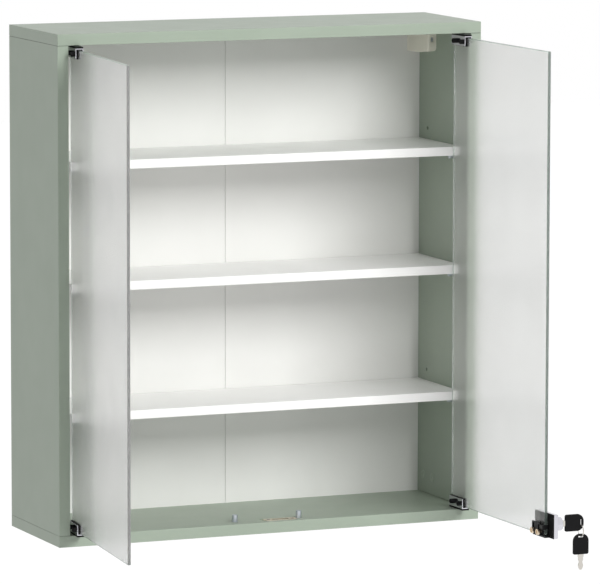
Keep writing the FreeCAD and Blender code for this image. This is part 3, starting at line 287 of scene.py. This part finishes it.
def mix_colours(tree, share, first, second):
    """One colour over another, by a mask."""
    node = tree.nodes.new("ShaderNodeMix")
    node.data_type = "RGBA"
    for identifier, source in (("Factor_Float", share), ("A_Color", first), ("B_Color", second)):
        feed(tree, source, socket(node.inputs, identifier))
    return socket(node.outputs, "Result_Color")


# Finishes: how each slot of the record looks

def look(colour, tone, rough, grain, deep, metal=0, shine=0.5, tone_scale=9.0):
    """Colour and darker tone, least and most roughness, scale of the grain and its depth in millimetres."""
    return dict(colour=linear(colour), tone=linear(tone), rough=rough, grain=grain, deep=deep * MM,
                metal=metal, shine=shine, tone_scale=tone_scale)


FINISHES = {
    "sage_melamine": look("9CA899", "99A596", (0.40, 0.44), 2600, 0.010),
    "white_melamine": look("F3F3F1", "F0F0EE", (0.38, 0.42), 2600, 0.008),
    "white_hardboard": look("EBEBE8", "E8E8E5", (0.42, 0.48), 1500, 0.014),
    "polished_chrome": look("D4D3D9", "C6C5CC", (0.05, 0.14), 900, 0.001, metal=1),
    "nickel_plate": look("D6D2CB", "C9C5BE", (0.18, 0.32), 1200, 0.003, metal=1),
    "zinc_steel": look("D3D8DE", "C3C9D1", (0.30, 0.44), 1100, 0.003, metal=1),
    "brass": look("E4D5BF", "CDB698", (0.14, 0.30), 1000, 0.003, metal=1),
    "black_plastic": look("0E0E0F", "0A0A0B", (0.42, 0.56), 3200, 0.012, shine=0.15),
    "black_rubber": look("0D0D0D", "090909", (0.62, 0.78), 1800, 0.020, shine=0.15),
    "black_painted_steel": look("131314", "0E0E0F", (0.34, 0.46), 1500, 0.010, shine=0.25),
    "beige_plastic": look("F6F2E5", "EFEBDE", (0.36, 0.48), 3000, 0.010),
    "green_plastic": look("A6B2A3", "A0AC9D", (0.34, 0.46), 2800, 0.008),
    "white_nylon": look("E6E6DF", "DEDED6", (0.36, 0.50), 2400, 0.008),
    "bronzed_steel": look("D8CDB6", "CBBFA6", (0.22, 0.36), 1100, 0.004, metal=1),
    # Strike plate screws: darker bronze plating, deepened with painted shade of their countersinks
    "dark_bronze_and_shade": look("5A4E40", "463C31", (0.30, 0.44), 1100, 0.004, metal=1),
    "beech_dowel": look("CBA878", "B98F5E", (0.55, 0.70), 900, 0.050, tone_scale=260.0),
}


def principled(name):
    """A new material with its node tree and its shader."""
    material = bpy.data.materials.new(name)
    material.use_nodes = True
    tree = material.node_tree
    return material, tree, tree.nodes["Principled BSDF"]


def roughen(tree, shader, grain, deep):
    """Feed a fine bump to a shader's normal."""
    bump = tree.nodes.new("ShaderNodeBump")
    bump.inputs["Distance"].default_value = deep
    tree.links.new(grain.outputs["Height"], bump.inputs["Height"])
    tree.links.new(bump.outputs["Normal"], shader.inputs["Normal"])


def finish(slot, board=None):
    """The material of a slot; a board also gets rubbed edges, from the box of its node."""
    style = FINISHES[slot]
    material, tree, shader = principled(f"{slot}_{board}" if board else slot)
    grain = use_group(tree, "surface_grain", Grain_scale=style["grain"], Tone_scale=style["tone_scale"])
    gloss = use_group(tree, "handled_gloss", Least=style["rough"][0], Most=style["rough"][1])
    colour = mix_colours(tree, grain.outputs["Tone"], style["tone"], style["colour"])
    if board:
        low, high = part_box(board)
        wear = use_group(tree, "edge_wear", Centre=(low + high) / 2, Half_size=(high - low) / 2)
        pale = tuple(PALE_SHARE * c + PALE_LIFT for c in style["colour"])
        colour = mix_colours(tree, wear.outputs["Mask"], colour, pale)
    # Painted shade: the pocket under the strike plate gets a dark brown, the bare board's colour deepened as shade
    # in the recess
    if board == "bottom_panel":
        plate_low, plate_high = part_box("strike_plate")
        under = Vector((0, 0, POCKET_DEEP))
        core_and_shade = use_group(tree, "inside_box", Centre=(plate_low + plate_high - under) / 2 - under,
                         Half_size=(plate_high - plate_low + under) / 2, Width=MASK_SOFT)
        colour = mix_colours(tree, core_and_shade.outputs["Mask"], colour, linear(CORE_AND_SHADE_COLOUR))
    # Painted shade: a dark line along the ends of a side panel, where it meets the top and bottom panels
    if board in ("left_side_panel", "right_side_panel"):
        clear_of_joint_shade = use_group(tree, "inside_box", Centre=(low + high) / 2, Width=MASK_SOFT,
                           Half_size=(high - low) / 2 + Vector((MM, MM, -JOINT_SHADE_WIDTH)))
        colour = mix_colours(tree, clear_of_joint_shade.outputs["Mask"], linear(JOINT_SHADE_COLOUR), colour)
    tree.links.new(colour, shader.inputs["Base Color"])
    tree.links.new(gloss.outputs["Roughness"], shader.inputs["Roughness"])
    shader.inputs["Metallic"].default_value = style["metal"]
    shader.inputs["Specular IOR Level"].default_value = style["shine"]
    roughen(tree, shader, grain, style["deep"])
    return material


# Places on the doors

def door_point(side, along, off, height):
    """A point given along a door from its hinge axis, outwards from the glass and by height, in metres."""
    sign, angle = DOOR_SIDE[side], DOOR_OPEN[side]
    pivot = Vector(JOINTS[side + "_door_hinge"]["pos_m"])
    along_way = Vector((-sign * math.cos(angle), -math.sin(angle), 0))
    place = pivot + along_way * along + outwards(side) * off
    return Vector((place.x, place.y, height))


def outwards(side):
    """The direction out of a door's outer face."""
    sign, angle = DOOR_SIDE[side], DOOR_OPEN[side]
    return Vector((sign * math.sin(angle), -math.cos(angle), 0))


def satin_glass(side):
    """Etched glass that scatters what lies behind it, greener towards its polished rim."""
    material, tree, shader = principled("satin_glass_" + side)
    low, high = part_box(side + "_door_glass")
    half_long = GLASS_LONG / 2
    centre = door_point(side, half_long - GLASS_HEEL, 0, (low.z + high.z) / 2)
    rim = use_group(tree, "glass_rim", Centre=centre, Width=GLASS_RIM,
                    Half_size=(half_long, GLASS_THICK / 2, (high.z - low.z) / 2),
                    Turn=DOOR_SIDE[side] * DOOR_OPEN[side])
    grain = use_group(tree, "surface_grain", Grain_scale=GLASS_GRAIN, Tone_scale=GLASS_TONE_SCALE)
    gloss = use_group(tree, "handled_gloss", Scale=GLASS_ROUGH_SCALE,
                      Least=GLASS_ROUGH[0], Most=GLASS_ROUGH[1])
    face = mix_colours(tree, grain.outputs["Tone"], *[linear(tone) for tone in GLASS_TONES])
    colour = mix_colours(tree, rim.outputs["Mask"], face, linear(GLASS_RIM_TONE))
    tree.links.new(colour, shader.inputs["Base Color"])
    tree.links.new(gloss.outputs["Roughness"], shader.inputs["Roughness"])
    shader.inputs["IOR"].default_value = GLASS_INDEX
    shader.inputs["Transmission Weight"].default_value = GLASS_PASSES
    roughen(tree, shader, grain, GLASS_DEEP)
    return material


# Meshes

def new_piece(name, mesh):
    """An object for a mesh, in the scene."""
    piece = bpy.data.objects.new(name, mesh)
    bpy.context.scene.collection.objects.link(piece)
    return piece


def shade(mesh):
    """Smooth shading, with the sharper edges kept crisp."""
    mesh.shade_smooth()
    mesh.set_sharp_from_angle(angle=math.radians(CRISP_ANGLE))


def merged_copy(node):
    """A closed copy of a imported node's mesh with its flat faces joined."""
    shape = bmesh.new()
    shape.from_mesh(NODES[node].data)
    bmesh.ops.remove_doubles(shape, verts=shape.verts, dist=MERGE_GAP)
    bmesh.ops.dissolve_limit(shape, angle_limit=math.radians(FLAT_ANGLE),
                             verts=shape.verts, edges=shape.edges)
    return shape


def stand_for(piece, *nodes):
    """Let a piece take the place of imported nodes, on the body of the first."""
    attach(piece, BODY_OF[nodes[0]])
    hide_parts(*nodes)


def eased(node, width):
    """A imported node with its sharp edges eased."""
    shape = merged_copy(node)
    mesh = bpy.data.meshes.new(node + "_eased")
    shape.to_mesh(mesh)
    shape.free()
    piece = new_piece(node + "_eased", mesh)
    mesh.materials.append(MATERIALS[SLOTS[node]])
    bevel = piece.modifiers.new("eased_edges", "BEVEL")
    bevel.width = width
    bevel.segments = 2
    bevel.limit_method = "ANGLE"
    bevel.angle_limit = math.radians(EASED_ANGLE)
    bevel.use_clamp_overlap = True
    shade(mesh)
    stand_for(piece, node)


def turned(name, profile, sides, ribs=0, rib_deep=0.0):
    """A closed turned shape about Z from (radius, height) pairs; ribs are cut where a pair ends in True."""
    shape = bmesh.new()
    rings = []
    for radius, height, *ribbed in profile:
        ring = []
        for i in range(sides):
            angle = 2 * math.pi * i / sides
            cut = rib_deep * (0.5 + 0.5 * math.cos(ribs * angle)) if ribbed else 0
            reach = radius - cut
            ring.append(shape.verts.new((reach * math.cos(angle), reach * math.sin(angle), height)))
        rings.append(ring)
    for lower, upper in zip(rings, rings[1:]):
        for i in range(sides):
            j = (i + 1) % sides
            shape.faces.new((lower[i], lower[j], upper[j], upper[i]))
    shape.faces.new(rings[0][::-1])
    shape.faces.new(rings[-1])
    bmesh.ops.recalc_face_normals(shape, faces=shape.faces)
    mesh = bpy.data.meshes.new(name)
    shape.to_mesh(mesh)
    shape.free()
    return mesh


def make_fitting_rows():
    """Node tree that sets a fitting on each place, in its size and turned at random about its axis."""
    tree = bpy.data.node_groups.new("fitting_rows", "GeometryNodeTree")
    for label, kind in (("Places", "NodeSocketGeometry"), ("Fitting", "NodeSocketObject"),
                        ("Radius", "NodeSocketFloat"), ("Length", "NodeSocketFloat"),
                        ("Facing", "NodeSocketRotation"), ("Free turn", "NodeSocketFloat"),
                        ("Seed", "NodeSocketInt"), ("Finish", "NodeSocketMaterial")):
        tree.interface.new_socket(label, in_out="INPUT", socket_type=kind)
    tree.interface.new_socket("Fittings", in_out="OUTPUT", socket_type="NodeSocketGeometry")
    entry, leave = tree.nodes.new("NodeGroupInput"), tree.nodes.new("NodeGroupOutput")
    fitting = tree.nodes.new("GeometryNodeObjectInfo")
    size = tree.nodes.new("ShaderNodeCombineXYZ")
    chance = tree.nodes.new("FunctionNodeRandomValue")
    spin = tree.nodes.new("FunctionNodeAxisAngleToRotation")
    spin.inputs["Axis"].default_value = (0.0, 0.0, 1.0)
    facing = tree.nodes.new("FunctionNodeRotateRotation")
    facing.rotation_space = "LOCAL"
    placed = tree.nodes.new("GeometryNodeInstanceOnPoints")
    real = tree.nodes.new("GeometryNodeRealizeInstances")
    painted = tree.nodes.new("GeometryNodeSetMaterial")
    link = tree.links.new
    link(entry.outputs["Fitting"], fitting.inputs["Object"])
    link(entry.outputs["Radius"], size.inputs["X"])
    link(entry.outputs["Radius"], size.inputs["Y"])
    link(entry.outputs["Length"], size.inputs["Z"])
    link(entry.outputs["Free turn"], socket(chance.inputs, "Max_001"))
    link(entry.outputs["Seed"], chance.inputs["Seed"])
    link(socket(chance.outputs, "Value_001"), spin.inputs["Angle"])
    link(entry.outputs["Facing"], facing.inputs["Rotation"])
    link(spin.outputs["Rotation"], facing.inputs["Rotate By"])
    link(entry.outputs["Places"], placed.inputs["Points"])
    link(fitting.outputs["Geometry"], placed.inputs["Instance"])
    link(facing.outputs["Rotation"], placed.inputs["Rotation"])
    link(size.outputs["Vector"], placed.inputs["Scale"])
    link(placed.outputs["Instances"], real.inputs["Geometry"])
    link(real.outputs["Geometry"], painted.inputs["Geometry"])
    link(entry.outputs["Finish"], painted.inputs["Material"])
    link(painted.outputs["Geometry"], leave.inputs["Fittings"])
    return tree


def set_fittings(name, unit, rows, radius, length, free_turn, seed, finish_slot):
    """Run the rows tree on lists of places, each with its own facing, and join the results in a mesh."""
    whole = bmesh.new()
    model = new_piece(name + "_unit", unit)
    for places, facing in rows:
        points = bpy.data.meshes.new(name + "_places")
        points.from_pydata([tuple(place) for place in places], [], [])
        carrier = new_piece(name + "_carrier", points)
        modifier = carrier.modifiers.new("rows", "NODES")
        modifier.node_group = ROWS
        values = {"Fitting": model, "Radius": radius, "Length": length, "Facing": facing,
                  "Free turn": free_turn, "Seed": seed, "Finish": MATERIALS[finish_slot]}
        for item in ROWS.interface.items_tree:
            if item.in_out == "INPUT" and item.name in values:
                modifier[item.identifier] = values[item.name]
        depsgraph = bpy.context.evaluated_depsgraph_get()
        result = bpy.data.meshes.new_from_object(carrier.evaluated_get(depsgraph))
        whole.from_mesh(result)
        bpy.data.objects.remove(carrier)
        bpy.data.meshes.remove(result)
    bpy.data.objects.remove(model)
    mesh = bpy.data.meshes.new(name)
    whole.to_mesh(mesh)
    whole.free()
    mesh.materials.append(MATERIALS[finish_slot])
    shade(mesh)
    return new_piece(name, mesh)


def facing_along(direction):
    """Rotation that turns Z to a direction."""
    return Vector(direction).to_track_quat("Z", "Y").to_euler()


def centres_of(node):
    """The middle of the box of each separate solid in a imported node."""
    shape = merged_copy(node)
    centres, left = [], set(shape.verts)
    while left:
        island, edge = set(), [left.pop()]
        while edge:
            vertex = edge.pop()
            island.add(vertex)
            for near in (other for link in vertex.link_edges for other in link.verts):
                if near in left:
                    left.discard(near)
                    edge.append(near)
        low = Vector([min(v.co[i] for v in island) for i in range(3)])
        high = Vector([max(v.co[i] for v in island) for i in range(3)])
        centres.append((low + high) / 2)
    shape.free()
    return sorted(centres, key=tuple)


def wall_rows(centres):
    """The fittings' places on the inner faces of both side panels, and the way that each row faces."""
    inner_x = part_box("left_side_panel")[1].x
    rows = []
    for sign in DOOR_SIDE.values():
        places = [(-sign * inner_x, c.y, c.z) for c in centres if c.x * sign > 0]
        rows.append((places, facing_along((-sign, 0, 0))))
    return rows


MATERIALS = {slot: finish(slot) for slot in FINISHES}
ROWS = make_fitting_rows()

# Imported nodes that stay: each gets the finish of its slot, and each board its own rubbed edges
BOARDS = ("top_panel", "bottom_panel", "left_side_panel", "right_side_panel",
          "shelf_lower", "shelf_middle", "shelf_upper", "back_panel_left", "back_panel_right")
for node, thing in NODES.items():
    slot = SLOTS[node]
    if slot == "satin_glass":
        material = satin_glass(node.split("_")[0])
    elif node in BOARDS:
        material = finish(slot, node)
    # The strike plate's screws: darker bronze, partly painted shade of their countersinks
    elif node == "strike_plate_screws":
        material = MATERIALS["dark_bronze_and_shade"]
    else:
        material = MATERIALS[slot]
    thing.data.materials.clear()
    thing.data.materials.append(material)

# Small parts with their sharp edges eased, in millimetres
EASED = {
    "left_bottom_hinge_clamp": 0.25, "left_top_hinge_clamp": 0.25,
    "right_bottom_hinge_clamp": 0.25, "right_top_hinge_clamp": 0.25,
    "left_clamp_liners": 0.12, "right_clamp_liners": 0.12,
    "left_pivot_pads": 0.25, "right_pivot_pads": 0.25,
    "hanger_housing_left": 0.35, "hanger_housing_right": 0.35,
    "strike_plate": 0.2, "lock_back_pad": 0.2, "lock_clamp_bracket": 0.25,
    "lock_bolt": 0.2, "lock_guide_screws": 0.25, "lock_plug": 0.15,
    "key_blade": 0.2, "spare_key_blade": 0.2, "key_bow": 0.2, "spare_key_bow": 0.2,
}
for node, width in EASED.items():
    eased(node, width * MM)

# Knob-headed clamp screws: grip ribs round the head and a socket in its end
KNOB = [
    (0.95, 0.0), (1.0, 0.06), (1.0, 0.12, True), (1.0, 0.80, True), (0.97, 0.90), (0.88, 0.98),
    (0.78, 1.0), (0.46, 1.0), (0.42, 0.97), (0.42, 0.62), (0.02, 0.58),
]
knob = turned("knob_unit", KNOB, HEAD_SIDES, HEAD_RIBS, HEAD_RIB_DEEP)
heights = (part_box("bottom_panel")[1].z + SCREW_RISE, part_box("top_panel")[0].z - SCREW_RISE)
for side, sign in DOOR_SIDE.items():
    # The screws are on the outer face of the left door and on the inner face of the right one
    places = [door_point(side, along, -sign * CLAMP_HALF, z) for z in heights for along in SCREWS_ALONG]
    screws = set_fittings(side + "_knob_screws", knob, [(places, facing_along(-sign * outwards(side)))],
                          HEAD_RADIUS, HEAD_LONG, 2 * math.pi, SCREW_SEED, "black_plastic")
    stand_for(screws, side + "_clamp_screws")

# Shelf supports: plated pins with a collar against the side panel and a rounded end
PIN = [
    (1.0, 0.0), (1.0, 0.10), (0.97, 0.13), (0.90, 0.14), (0.90, 0.86), (0.84, 0.95), (0.66, 1.0), (0.02, 1.0),
]
supports = [f"shelf_supports_{name}" for name in ("lower", "middle", "upper")]
rows = wall_rows([centre for node in supports for centre in centres_of(node)])
pins = set_fittings("shelf_pins", turned("pin_unit", PIN, PIN_SIDES), rows,
                    PIN_RADIUS, PIN_REACH, math.pi, PIN_SEED, "zinc_steel")
stand_for(pins, *supports)

# Cover caps over the board connectors: thin discs with a soft rim
CAP = [
    (0.985, 0.0), (1.0, 0.25), (0.99, 0.62), (0.95, 0.90), (0.88, 1.0), (0.30, 1.0),
    (0.26, 0.86), (0.02, 0.80),
]
rows = wall_rows(centres_of("cam_cover_caps"))
covers = set_fittings("cover_caps", turned("cap_unit", CAP, CAP_SIDES), rows,
                      CAP_RADIUS, CAP_THICK, math.pi, CAP_SEED, "green_plastic")
stand_for(covers, "cam_cover_caps")


def split_ring():
    """The key ring: spring wire wound nearly twice round, its ends lapped."""
    joint = JOINTS["key_ring_turn"]
    axis, centre = Vector(joint["axis"]), Vector(joint["pos_m"])
    spine = bpy.data.curves.new("split_ring_path", "CURVE")
    spine.dimensions = "3D"
    spine.bevel_depth = RING_WIRE
    spine.bevel_resolution = 3
    spine.use_fill_caps = True
    coil = spine.splines.new("POLY")
    coil.points.add(RING_STEPS)
    for i, point in enumerate(coil.points):
        share = i / RING_STEPS
        angle = 2 * math.pi * RING_TURNS * share
        climbed = min(max((share - RING_CLIMB_START) / RING_CLIMB_SHARE, 0), 1)
        lift = RING_WIRE * RING_RISE * (climbed - 0.5)
        point.co = (RING_RADIUS * math.cos(angle), RING_RADIUS * math.sin(angle), lift, 1)
    carrier = new_piece("split_ring_path", spine)
    mesh = bpy.data.meshes.new_from_object(carrier.evaluated_get(bpy.context.evaluated_depsgraph_get()))
    bpy.data.objects.remove(carrier)
    turn = axis.to_track_quat("Z", "Y").to_matrix().to_4x4()
    mesh.transform(Matrix.Translation(centre) @ turn)
    mesh.materials.clear()
    mesh.materials.append(MATERIALS["nickel_plate"])
    shade(mesh)
    piece = new_piece("split_key_ring", mesh)
    stand_for(piece, "key_ring")


split_ring()


# Studio: pale floor, soft lamps and a white surround

def white_to_view(tree):
    """A share that is 1 for what the camera, a polished face or glass sees directly."""
    path = tree.nodes.new("ShaderNodeLightPath")
    seen = math_node(tree, "MAXIMUM", path.outputs["Is Camera Ray"], path.outputs["Is Glossy Ray"])
    seen = math_node(tree, "MAXIMUM", seen, path.outputs["Is Transmission Ray"])
    first = math_node(tree, "LESS_THAN", path.outputs["Diffuse Depth"], 0.5)
    return math_node(tree, "MULTIPLY", seen, first)


def surround(strength):
    """World that is white to the eye and gives the given plain light."""
    world = bpy.data.worlds.new("studio")
    world.use_nodes = True
    bpy.context.scene.world = world
    tree = world.node_tree
    light = tree.nodes["Background"]
    light.inputs["Color"].default_value = WHITE
    light.inputs["Strength"].default_value = strength
    view = tree.nodes.new("ShaderNodeBackground")
    view.inputs["Color"].default_value = WHITE
    mix = tree.nodes.new("ShaderNodeMixShader")
    tree.links.new(white_to_view(tree), mix.inputs["Fac"])
    tree.links.new(light.outputs[0], mix.inputs[1])
    tree.links.new(view.outputs[0], mix.inputs[2])
    tree.links.new(mix.outputs[0], tree.nodes["World Output"].inputs["Surface"])


def floor(height, half):
    """Plain pale floor that is white to the eye and keeps a light shadow."""
    mesh = bpy.data.meshes.new("studio_floor")
    corners = [(-half, -half, height), (half, -half, height), (half, half, height), (-half, half, height)]
    mesh.from_pydata(corners, [], [(0, 1, 2, 3)])
    piece = new_piece("studio_floor", mesh)
    material, tree, shader = principled("studio_floor")
    shader.inputs["Base Color"].default_value = linear(FLOOR_COLOUR)
    shader.inputs["Roughness"].default_value = FLOOR_ROUGH
    glow = tree.nodes.new("ShaderNodeEmission")
    glow.inputs["Strength"].default_value = FLOOR_GLOW
    mix = tree.nodes.new("ShaderNodeMixShader")
    tree.links.new(math_node(tree, "MULTIPLY", white_to_view(tree), FLOOR_GLOW_SHARE), mix.inputs["Fac"])
    tree.links.new(shader.outputs[0], mix.inputs[1])
    tree.links.new(glow.outputs[0], mix.inputs[2])
    tree.links.new(mix.outputs[0], tree.nodes["Material Output"].inputs["Surface"])
    mesh.materials.append(material)


def softbox(name, place, target, size, power):
    """A square soft lamp turned to a point; neither the camera nor a polished face sees it."""
    light = bpy.data.lights.new(name, "AREA")
    light.shape = "SQUARE"
    light.size = size
    light.energy = power
    lamp = bpy.data.objects.new(name, light)
    bpy.context.scene.collection.objects.link(lamp)
    lamp.location = place
    lamp.rotation_euler = (Vector(target) - Vector(place)).to_track_quat("-Z", "Y").to_euler()
    lamp.visible_camera = False
    lamp.visible_glossy = False


surround(SURROUND_LIGHT)
floor(FLOOR_HEIGHT, FLOOR_HALF)
for name, lamp in LAMPS.items():
    softbox(name, **lamp)

camera_data = bpy.data.cameras.new("camera")
camera_data.sensor_fit = "HORIZONTAL"
camera_data.lens = CAMERA_LENS
camera = bpy.data.objects.new("camera", camera_data)
bpy.context.scene.collection.objects.link(camera)
turn = Matrix.Rotation(-math.radians(CAMERA_YAW), 4, "Z")
tilt = Matrix.Rotation(math.radians(90 - CAMERA_PITCH), 4, "X")
roll = Matrix.Rotation(-math.radians(CAMERA_ROLL), 4, "Z")
camera.matrix_world = Matrix.Translation(CAMERA_PLACE) @ turn @ tilt @ roll
bpy.context.scene.camera = camera
bpy.context.scene.view_settings.view_transform = "Standard"
